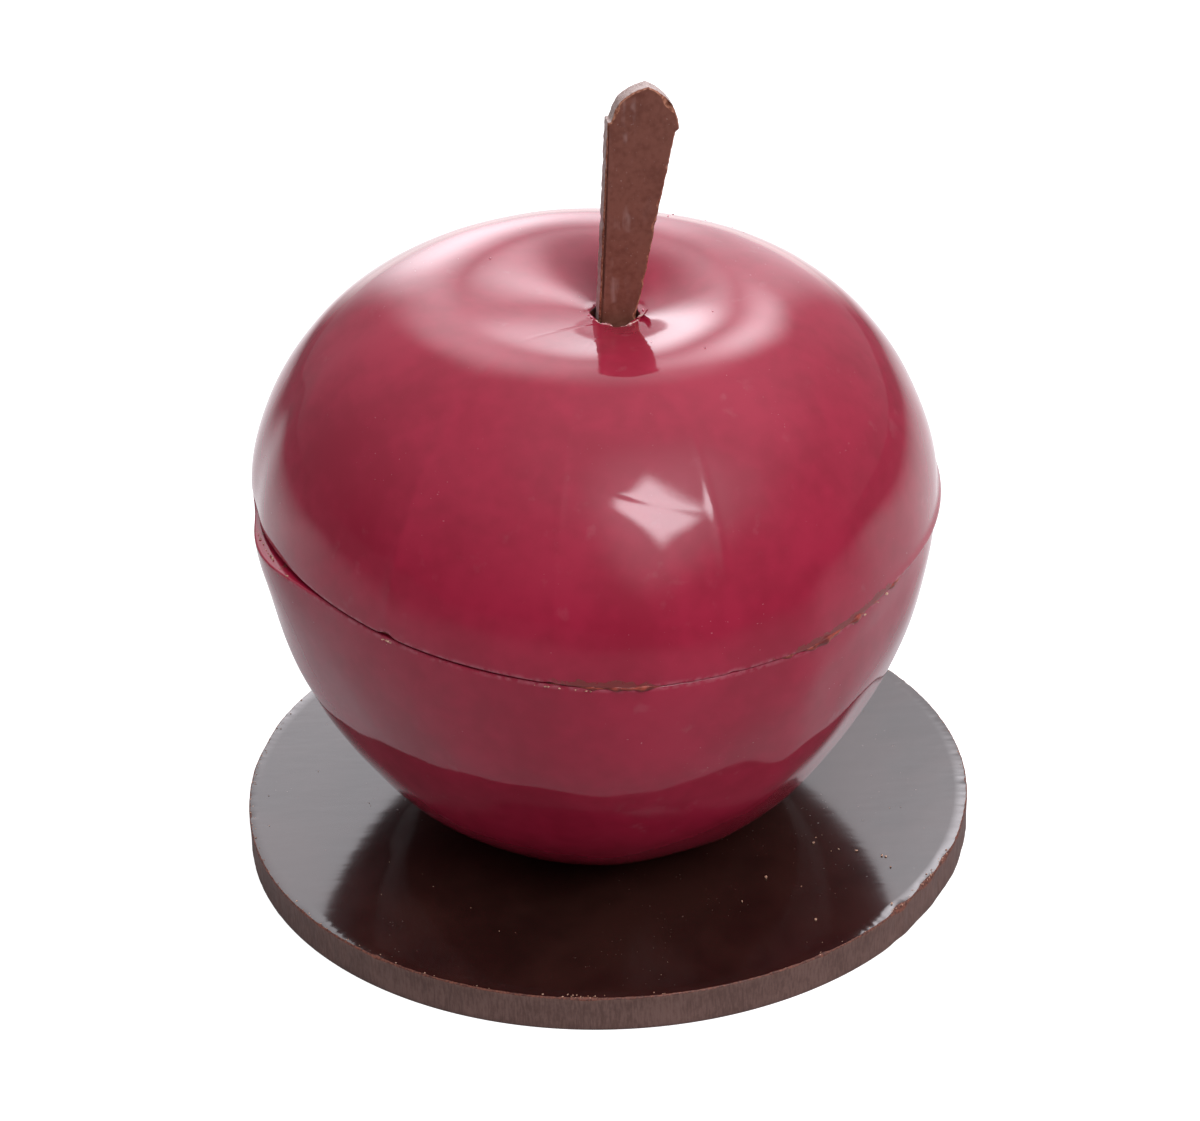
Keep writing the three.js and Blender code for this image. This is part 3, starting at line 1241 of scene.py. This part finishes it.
@dataclass
class DiscPlate:
    """The round plate, with a glossy top and a striated cut side."""

    radius: float
    thickness: float
    dips: tuple[Bulge, ...] = (
        Bulge(183, 12, -0.3),
        Bulge(166, 3, -0.15),
        Bulge(333, 4, -0.2),
        Bulge(325, 2.5, -0.2),
        Bulge(319, 1.2, -0.12),
        Bulge(345, 3, -0.1),
    )
    segments: int = 1080

    def build(self, larder: Larder) -> bpy.types.Object:
        """Builds and dresses the plate.

        Args:
            larder: The materials.

        Returns:
            The piece.
        """
        angles = np.linspace(0, 2 * math.pi, self.segments + 1)[:-1]
        spot = np.stack([self.radius * np.cos(angles), self.radius * np.sin(angles), 0 * angles], -1)
        edge = self.radius - 0.12 + swell(self.dips, angles)
        crumbly = np.abs(Ripple(51, 1.7, 0.03).at(spot)) + np.abs(Ripple(52, 0.6, 0.02).at(spot))
        striae = Ripple(53, 0.75, 0.012).at(spot) + Ripple(54, 2.5, 0.02).at(spot)
        chips = np.clip(Ripple(55, 2.6, 1.0).at(spot) - 1.3, 0, 1) * 0.12
        deep = (Bulge(320, 1.2, 0.4), Bulge(328, 1.5, 0.25), Bulge(335, 1.5, 0.2), Bulge(266, 1.2, 0.15))
        chips += swell(deep, angles)
        lip = 0.1 + crumbly + chips
        levels = [(radius, self.thickness) for radius in (6.0, 14.0, 22.0, 29.0, 34.0, 36.0)]
        rings = [self._ring(angles, np.full_like(angles, r), z) for r, z in levels]
        rings.append(self._ring(angles, edge - lip, self.thickness))
        rings.append(self._ring(angles, edge - lip * 0.35, self.thickness - lip * 0.35 + 0.02))
        for share in np.linspace(0, 1, 9):
            low = self.thickness - lip
            depth = low + (0.22 - low) * share
            bow = 0.05 * math.sin(math.pi * share)
            rings.append(self._ring(angles, edge + striae * (0.5 + bow * 10) - bow, depth))
        rings.append(self._ring(angles, edge - 0.1, 0.05))
        rings.append(self._ring(angles, edge - 0.3, 0.0))
        rings.append(self._ring(angles, 0 * angles + 12.0, 0.0))
        grid = np.stack(rings)[::-1]
        slots = [0, 0] + [1] * 10 + [2, 2] + [0] * 7
        skin = Skin.empty()
        skin.add_rings(grid, slots)
        piece = skin.make("disc_plate", [larder.dark, larder.dark_cut, larder.dark_edge])
        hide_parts("base_disc")
        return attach(piece, "root")

    def _ring(self, angles: np.ndarray, radius: np.ndarray, height: np.ndarray | float) -> np.ndarray:
        """Builds one ring that stays within the plate's own radius.

        Args:
            angles: The angles of the grid.
            radius: The radius at each angle.
            height: The height, which may vary round the ring.

        Returns:
            The ring.
        """
        reach = np.minimum(radius, self.radius)
        return np.stack([reach * np.cos(angles), reach * np.sin(angles), height + 0 * angles], -1)


# ---- Crumbs and flakes ----


@dataclass
class Crumbs:
    """Broken bits of chocolate lying on the piece, each a small angular lump."""

    name: str
    slot: Slot
    seed: int

    def build(self, spots: np.ndarray, sizes: np.ndarray, material: bpy.types.Material) -> bpy.types.Object:
        """Builds the crumbs as one piece.

        Args:
            spots: Where each crumb rests.
            sizes: The width of each crumb.
            material: The material.

        Returns:
            The piece.
        """
        draw = np.random.default_rng(self.seed)
        skin = Skin.empty()
        corners, faces = self._lump()
        for spot, size in zip(spots, sizes):
            stretch = draw.uniform(0.55, 1.25, 3) * np.array([1.0, 1.0, 0.75])
            spin = Matrix.Rotation(draw.uniform(0, 2 * math.pi), 3, "Z")
            spin = spin @ Matrix.Rotation(draw.normal() * 0.5, 3, "X")
            shape = corners * draw.uniform(0.75, 1.15, (len(corners), 1)) * stretch
            shape = shape @ np.array(spin) * size / 2
            shape[:, 2] -= shape[:, 2].min()
            first = skin.add_points(shape + spot)
            skin.add_faces(faces + first)
        piece = skin.make(self.name, [material], flat=(0,))
        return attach(piece, "root")

    @staticmethod
    def _lump() -> tuple[np.ndarray, np.ndarray]:
        """Makes a round lump.

        Returns:
            Its corners and its faces.
        """
        work = bmesh.new()
        bmesh.ops.create_icosphere(work, subdivisions=2, radius=1.0)
        corners = np.array([v.co for v in work.verts])
        faces = np.array([[v.index for v in f.verts] for f in work.faces])
        work.free()
        return corners, faces


@dataclass
class CurledFlake:
    """A thin sliver of shell that curls away from where it broke."""

    name: str
    foot: tuple[float, float, float]
    heading: float
    length: float
    width: float
    curl: float
    tilt: float
    thickness: float = 0.16

    def build(self, materials: list[bpy.types.Material], slot: Slot) -> bpy.types.Object:
        """Builds the flake.

        Args:
            materials: The materials of its top and of its other sides.
            slot: The record's slot. Not used.

        Returns:
            The piece.
        """
        steps, across = 12, 7
        rings = []
        for i in range(steps):
            along = i / (steps - 1)
            bend = math.radians(self.tilt + self.curl * along)
            reach = self.length * along
            out, up = reach * math.cos(bend), reach * math.sin(bend)
            taper = self.width * (1 - 0.45 * along**2) * (1 + 0.12 * math.sin(9 * along))
            thin = self.thickness * (1 - 0.5 * along)
            outer = out - thin * math.sin(bend) * 0.5
            upper = [(outer, side * taper / 2, up + thin / 2) for side in np.linspace(-1, 1, across)]
            lower = [(x, y, z - thin) for x, y, z in reversed(upper)]
            rings.append(upper + lower)
        grid = np.array(rings)
        grid = grid + Ripple(61, 0.7, 0.03).at(grid)[..., None] * np.array([0.4, 0.4, 1.0])
        turn = math.radians(self.heading)
        c, s = math.cos(turn), math.sin(turn)
        spin = np.array([[c, s, 0], [-s, c, 0], [0, 0, 1]])
        skin = Skin.empty()
        skin.add_rings(grid @ spin + np.array(self.foot), [0] * (steps + 1))
        piece = skin.make(self.name, materials)
        recalculate(piece)
        top = [polygon.normal.z > 0.25 for polygon in piece.data.polygons]
        piece.data.polygons.foreach_set("material_index", [0 if t else len(materials) - 1 for t in top])
        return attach(piece, "root")


@dataclass
class HoleLip:
    """The pale broken edge along the front of the hole."""

    centre: tuple[float, float] = (2.2, -0.9)
    radius: float = 2.5
    start: float = 215.0
    end: float = 345.0
    thickness: float = 0.2

    def build(self, larder: Larder, surface: bpy.types.Object) -> bpy.types.Object:
        """Builds the lip on the shell.

        Args:
            larder: The materials.
            surface: The upper half, which it lies on.

        Returns:
            The piece.
        """
        count = 60
        rings = []
        for i in range(count):
            along = i / (count - 1)
            angle = math.radians(self.start + (self.end - self.start) * along)
            fade = math.sin(math.pi * min(max(along, 0.02), 0.98)) ** 0.5
            x = self.centre[0] + self.radius * math.cos(angle)
            y = self.centre[1] + self.radius * math.sin(angle)
            spot = rest_on(surface, x, y)
            size = self.thickness * fade * (1 + 0.5 * math.sin(along * 31) * math.cos(along * 17))
            ring = []
            for turn in np.linspace(0, 2 * math.pi, 9)[:-1]:
                out = size * 0.8 * math.cos(turn)
                rise = size * 0.45 * math.sin(turn)
                ring.append((x + out * math.cos(angle), y + out * math.sin(angle), spot + rise))
            rings.append(ring)
        skin = Skin.empty()
        skin.add_rings(np.array(rings), [0] * (count + 1))
        piece = skin.make("hole_lip", [larder.cream])
        recalculate(piece)
        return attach(piece, "root")


def rest_on(surface: bpy.types.Object, x: float, y: float) -> float:
    """Finds the height of a surface straight below a place.

    Args:
        surface: The piece to land on.
        x: Place along X.
        y: Place along Y.

    Returns:
        The height, or 0 where nothing is hit.
    """
    hit, spot, _, _ = surface.ray_cast(Vector((x * MM, y * MM, ABOVE_ALL)), Vector((0, 0, -1)))
    return spot.z / MM if hit else 0.0


@dataclass
class Scatter:
    """Everything that lies loose on the disc, the seam and the dome."""

    disc_radius: float
    disc_top: float
    seam: Seam
    girth: Girth
    coarse: tuple[tuple[float, float, int], ...] = ((329, 4, 7), (313, 9, 5))
    brim_low: float = 56.0
    in_hole: float = 57.0

    def build(self, larder: Larder, dome: bpy.types.Object) -> list[bpy.types.Object]:
        """Builds all the loose bits.

        Args:
            larder: The materials.
            dome: The upper half, which some of them lie on.

        Returns:
            The pieces.
        """
        return [
            self._on_disc(larder),
            self._on_disc_edge(larder),
            self._along_seam(larder),
            self._on_dome(larder, dome),
            self._at_hole(larder, dome),
        ]

    def _on_disc(self, larder: Larder) -> bpy.types.Object:
        """Scatters crumbs over the disc's top.

        Args:
            larder: The materials.

        Returns:
            The piece.
        """
        draw = np.random.default_rng(71)
        angle = np.radians(np.concatenate([draw.normal(a, w, n) for a, w, n in self.coarse]))
        coarse, fine = len(angle), 46
        angle = np.concatenate([angle, draw.uniform(0, 2 * math.pi, fine)])
        radius = draw.uniform(24, self.disc_radius - 1.1, coarse + fine)
        sizes = np.concatenate([draw.uniform(0.16, 0.3, coarse), draw.uniform(0.05, 0.11, fine)])
        top = np.full(coarse + fine, self.disc_top)
        spots = np.stack([radius * np.cos(angle), radius * np.sin(angle), top], -1)
        return Crumbs("disc_crumbs", Slot.DARK, 72).build(spots, sizes, larder.crumb)

    def _on_disc_edge(self, larder: Larder) -> bpy.types.Object:
        """Sprinkles fine crumbs along the disc's upper edge, thicker where it was chipped.

        Args:
            larder: The materials.

        Returns:
            The piece.
        """
        draw = np.random.default_rng(73)
        groups = ((266, 1.6, 22), (328, 6, 44), (319, 1.5, 12), (172, 8, 60), (240, 60, 60), (60, 90, 60))
        angle = np.radians(np.concatenate([draw.normal(a, w, n) for a, w, n in groups]))
        radius = self.disc_radius - 0.25 - np.abs(draw.normal(0, 0.22, len(angle)))
        radius = radius + swell(DiscPlate.dips, angle)
        sizes = draw.uniform(0.06, 0.18, len(angle))
        top = np.full(len(angle), self.disc_top - 0.06)
        spots = np.stack([radius * np.cos(angle), radius * np.sin(angle), top], -1)
        return Crumbs("edge_crumbs", Slot.DARK, 74).build(spots, sizes, larder.crumb)

    def _along_seam(self, larder: Larder) -> bpy.types.Object:
        """Leaves a few broken bits on the ledge and by the notch.

        Args:
            larder: The materials.

        Returns:
            The piece.
        """
        draw = np.random.default_rng(75)
        groups = ((200, 5, 18, 0.35), (233.5, 0.8, 7, 0.0), (322, 8, 10, 0.0), (265, 5, 8, 0.0))
        angle = np.radians(np.concatenate([draw.normal(a, w, n) for a, w, n, _ in groups]))
        out = np.concatenate([draw.uniform(0.0, 0.1, n) + o for _, _, n, o in groups])
        radius = self.girth.upper(angle) + out
        spots = self.seam.carry(radius * np.cos(angle), radius * np.sin(angle), -0.3 - out * 0.4)
        sizes = draw.uniform(0.1, 0.28, len(angle))
        return Crumbs("seam_crumbs", Slot.MILK, 76).build(spots, sizes, larder.crumb)

    def _on_dome(self, larder: Larder, dome: bpy.types.Object) -> bpy.types.Object:
        """Leaves crimson specks on the dome, most of them behind the stem.

        Args:
            larder: The materials.
            dome: The upper half, which they lie on.

        Returns:
            The piece.
        """
        draw = np.random.default_rng(77)
        x = np.concatenate([draw.normal(12.5, 2.6, 9), draw.uniform(-14, 18, 4)])
        y = np.concatenate([draw.normal(17.2, 1.0, 9), draw.uniform(-16, 12, 4)])
        spots = np.array([(a, b, rest_on(dome, a, b) - 0.03) for a, b in zip(x, y)])
        sizes = draw.uniform(0.1, 0.2, len(x))
        return Crumbs("dome_flecks", Slot.CRIMSON, 78).build(spots, sizes, larder.skin_bits)

    def _at_hole(self, larder: Larder, dome: bpy.types.Object) -> bpy.types.Object:
        """Leaves torn bits of skin round the hole.

        Args:
            larder: The materials.
            dome: The upper half, which they lie on.

        Returns:
            The piece.
        """
        draw = np.random.default_rng(79)
        angle = np.radians(np.concatenate([draw.uniform(130, 250, 16), draw.uniform(300, 380, 8)]))
        radius = UpperShell.hole_radius + draw.uniform(-0.12, 0.25, len(angle))
        x = HoleLip.centre[0] + radius * np.cos(angle)
        y = HoleLip.centre[1] + radius * np.sin(angle)
        found = [rest_on(dome, a, b) for a, b in zip(x, y)]
        height = [z - 0.05 if abs(z) > self.brim_low else self.in_hole for z in found]
        spots = np.stack([x, y, np.array(height)], -1)
        sizes = draw.uniform(0.1, 0.24, len(angle))
        return Crumbs("hole_crumbs", Slot.CRIMSON, 80).build(spots, sizes, larder.skin_bits)


# ---- Studio ----


@dataclass(frozen=True)
class SoftPanel:
    """A soft light box of the studio. Angles are in degrees, its bearing clockwise from +Y."""

    bearing: float
    elevation: float
    half_width: float
    half_height: float
    softness: float
    radiance: float
    round: bool = False
    roll: float = 0.0

    def glow(self, r: Recipe, direction: bpy.types.NodeSocket) -> Value:
        """Works out the panel's light in a direction.

        Args:
            r: The recipe of the studio's tree.
            direction: The direction looked in.

        Returns:
            Its brightness.
        """
        b, e = math.radians(self.bearing), math.radians(self.elevation)
        ahead = Vector((math.sin(b) * math.cos(e), math.cos(b) * math.cos(e), math.sin(e)))
        side = Vector((math.cos(b), -math.sin(b), 0.0))
        over = side.cross(ahead)
        c, s = math.cos(math.radians(self.roll)), math.sin(math.radians(self.roll))
        side, over = side * c + over * s, over * c - side * s
        facing = r.dot(direction, tuple(ahead))
        safe = facing.at_least(0.001)
        mask = facing > 0.001
        apart = []
        for axis, half in ((side, self.half_width), (over, self.half_height)):
            apart.append(abs(r.dot(direction, tuple(axis)) / safe) / math.tan(math.radians(half)))
        if self.round:
            apart = [(apart[0] * apart[0] + apart[1] * apart[1]) ** 0.5]
        for off in apart:
            mask = mask * off.between(1 - self.softness, 1 + self.softness, 1.0, 0.0)
        return mask * self.radiance


@dataclass
class Studio:
    """The pale floor, the soft light and the camera."""

    disc_radius: float
    panels: tuple[SoftPanel, ...] = (
        SoftPanel(0, 20, 22, 38, 0.35, 1.05),
        SoftPanel(-7, 16, 8.5, 11, 1.0, 3.2, True),
        SoftPanel(19, 38, 7.5, 7, 1.0, 4.0, True),
        SoftPanel(-10, 42, 8, 9, 1.0, 0.9, True),
        SoftPanel(148.5, 47, 10.5, 12.5, 0.22, 8.6, False, -24),
        SoftPanel(149, 45, 18, 19, 1.0, 1.5, True),
        SoftPanel(120, 68, 40, 34, 1.0, 0.45, True),
    )
    tint: Colour = (1.0, 0.965, 1.02)
    horizon: float = 0.11
    zenith: float = 0.55
    from_back: float = 0.22
    from_right: float = 0.1
    # The floor's colour near the front, near the back and far off: darker away from the piece, as painted
    # shade.
    near_front: float = 0.32
    near_back: float = 0.5
    far: float = 0.14
    # The floor's glow for rays not from the camera: painted light just behind the piece, over its shadow, and
    # in a pool further back.
    near_glow: float = 0.45
    pool: float = 1.6
    floor_glow: float = 0.9
    floor_size: float = 12.0
    lens_length: float = 100.0
    sensor_width: float = 36.0
    camera_dip: float = 29.61
    camera_roll: float = -1.608
    camera_place: tuple[float, float, float] = (0.0, -7.744, 5.204)  # in radii of the disc

    def build(self) -> None:
        """Builds all of it."""
        self._sky()
        self._floor()
        self._camera()
        bpy.context.scene.view_settings.view_transform = "Standard"
        bpy.context.scene.view_settings.look = "None"

    def _sky(self) -> None:
        """Lights the scene with soft panels on a dim, even backdrop, which is white where it is looked at."""
        world = bpy.data.worlds.new("studio")
        bpy.context.scene.world = world
        world.use_nodes = True
        r = Recipe(world.node_tree)
        direction = r.node("ShaderNodeTexCoord", {}, {}).outputs["Generated"]
        height = r.dot(direction, (0.0, 0.0, 1.0))
        light = height.between(-0.1, 0.95, self.horizon, self.zenith)
        light = light + r.dot(direction, (0.0, self.from_back, 0.0)).at_least(0.0)
        light = light + r.dot(direction, (self.from_right, 0.0, 0.0)).at_least(0.0)
        for panel in self.panels:
            light = light + panel.glow(r, direction)
        looked_at = Value(r, r.node("ShaderNodeLightPath", {}, {}).outputs["Is Camera Ray"])
        strength = looked_at + (1 - looked_at) * light
        colour = r.blend(looked_at, self.tint, (1.0, 1.0, 1.0))
        back = r.node("ShaderNodeBackground", {}, {"Color": colour, "Strength": strength})
        r.node("ShaderNodeOutputWorld", {}, {"Surface": back.outputs["Background"]})

    def _floor(self) -> None:
        """Lays a pale floor that glows nearly white where the camera sees it. Its colour darkens towards the
        front and away from the piece as painted shade, and for other rays it glows as painted light just
        behind the piece and in a pool further back.
        """
        size = self.floor_size / 2 / MM
        skin = Skin.empty()
        skin.add_points(np.array([(-size, -size, 0), (size, -size, 0), (size, size, 0), (-size, size, 0)]))
        skin.add_faces([[0, 1, 2, 3]])
        r, material = Recipe.for_material("pale_floor")
        here = r.place()
        split = r.node("ShaderNodeSeparateXYZ", {}, {"Vector": here})
        across, back = Value(r, split.outputs["X"]), Value(r, split.outputs["Y"])
        away = Value(r, r.vector("LENGTH", here).outputs["Value"])
        # Painted shade: the floor's colour darkens towards the front and away from the piece.
        near = back.between(-0.12, 0.04, self.near_front, self.near_back)
        shade = near + away.between(0.12, 0.45) * (self.far - near)
        tone = r.blend(shade, (0.0, 0.0, 0.0), (1.0, 1.0, 1.0))
        # Painted light: for rays not from the camera, the floor glows in a pool behind the piece where the
        # back light falls, and just behind it over its shadow.
        behind = back.between(0.04, 0.55) * (abs(across) / back.at_least(0.01)).between(0.25, 0.5, 1.0, 0.0)
        lit = behind * self.pool + back.between(0.0, 0.07) * away.between(0.15, 0.4, self.near_glow, 0.0)
        looked_at = Value(r, r.node("ShaderNodeLightPath", {}, {}).outputs["Is Camera Ray"])
        strength = looked_at * self.floor_glow + (1 - looked_at) * lit
        matt = r.node("ShaderNodeBsdfDiffuse", {}, {"Color": tone})
        glow = r.node("ShaderNodeEmission", {}, {"Color": (1.0, 1.0, 1.0), "Strength": strength})
        both = r.node("ShaderNodeAddShader", {}, {0: matt.outputs["BSDF"], 1: glow.outputs["Emission"]})
        r.node("ShaderNodeOutputMaterial", {}, {"Surface": both.outputs["Shader"]})
        skin.make("floor", [material])

    def _camera(self) -> None:
        """Stands the camera in front of the piece, looking down at it."""
        lens = bpy.data.cameras.new("camera")
        lens.lens = self.lens_length
        lens.sensor_width = self.sensor_width
        lens.clip_start = 0.01
        camera = bpy.data.objects.new("camera", lens)
        bpy.context.scene.collection.objects.link(camera)
        turn = Matrix.Rotation(math.radians(90 - self.camera_dip), 3, "X")
        turn = turn @ Matrix.Rotation(math.radians(self.camera_roll), 3, "Z")
        place = Vector(self.camera_place) * self.disc_radius * MM
        camera.matrix_world = Matrix.Translation(place) @ turn.to_4x4()
        bpy.context.scene.camera = camera


def main() -> None:
    """Builds the apple around its frame and reports each piece."""
    logging.basicConfig(level=logging.INFO, format="%(name)s: %(message)s")
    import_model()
    low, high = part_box("base_disc")
    disc_radius, disc_top = (high.x - low.x) / 2 / MM, high.z / MM

    studio = Studio(disc_radius)
    studio.build()
    larder = Larder.stocked()
    seam, girth = Seam(), Girth()

    pieces = [DiscPlate(disc_radius, disc_top).build(larder)]
    pieces.append(LowerShell(seam, girth, disc_top).build(larder))
    dome = UpperShell(seam, girth).build(larder)
    pieces += [dome, SeamChocolate(seam, girth).build(larder), StemPlaque().build(larder)]
    bpy.context.view_layer.update()
    pieces.append(HoleLip().build(larder, dome))
    flake = CurledFlake(
        "hole_flake", foot=(4.35, -1.6, 57.75), heading=-25, length=1.25, width=1.0, curl=35, tilt=8
    )
    pieces.append(flake.build([larder.cream, larder.crimson], Slot.CRIMSON))
    pieces += Scatter(disc_radius, disc_top, seam, girth).build(larder, dome)
    for piece in pieces:
        LOG.info("%s: %d faces", piece.name, len(piece.data.polygons))


if __name__ == "__main__":
    main()
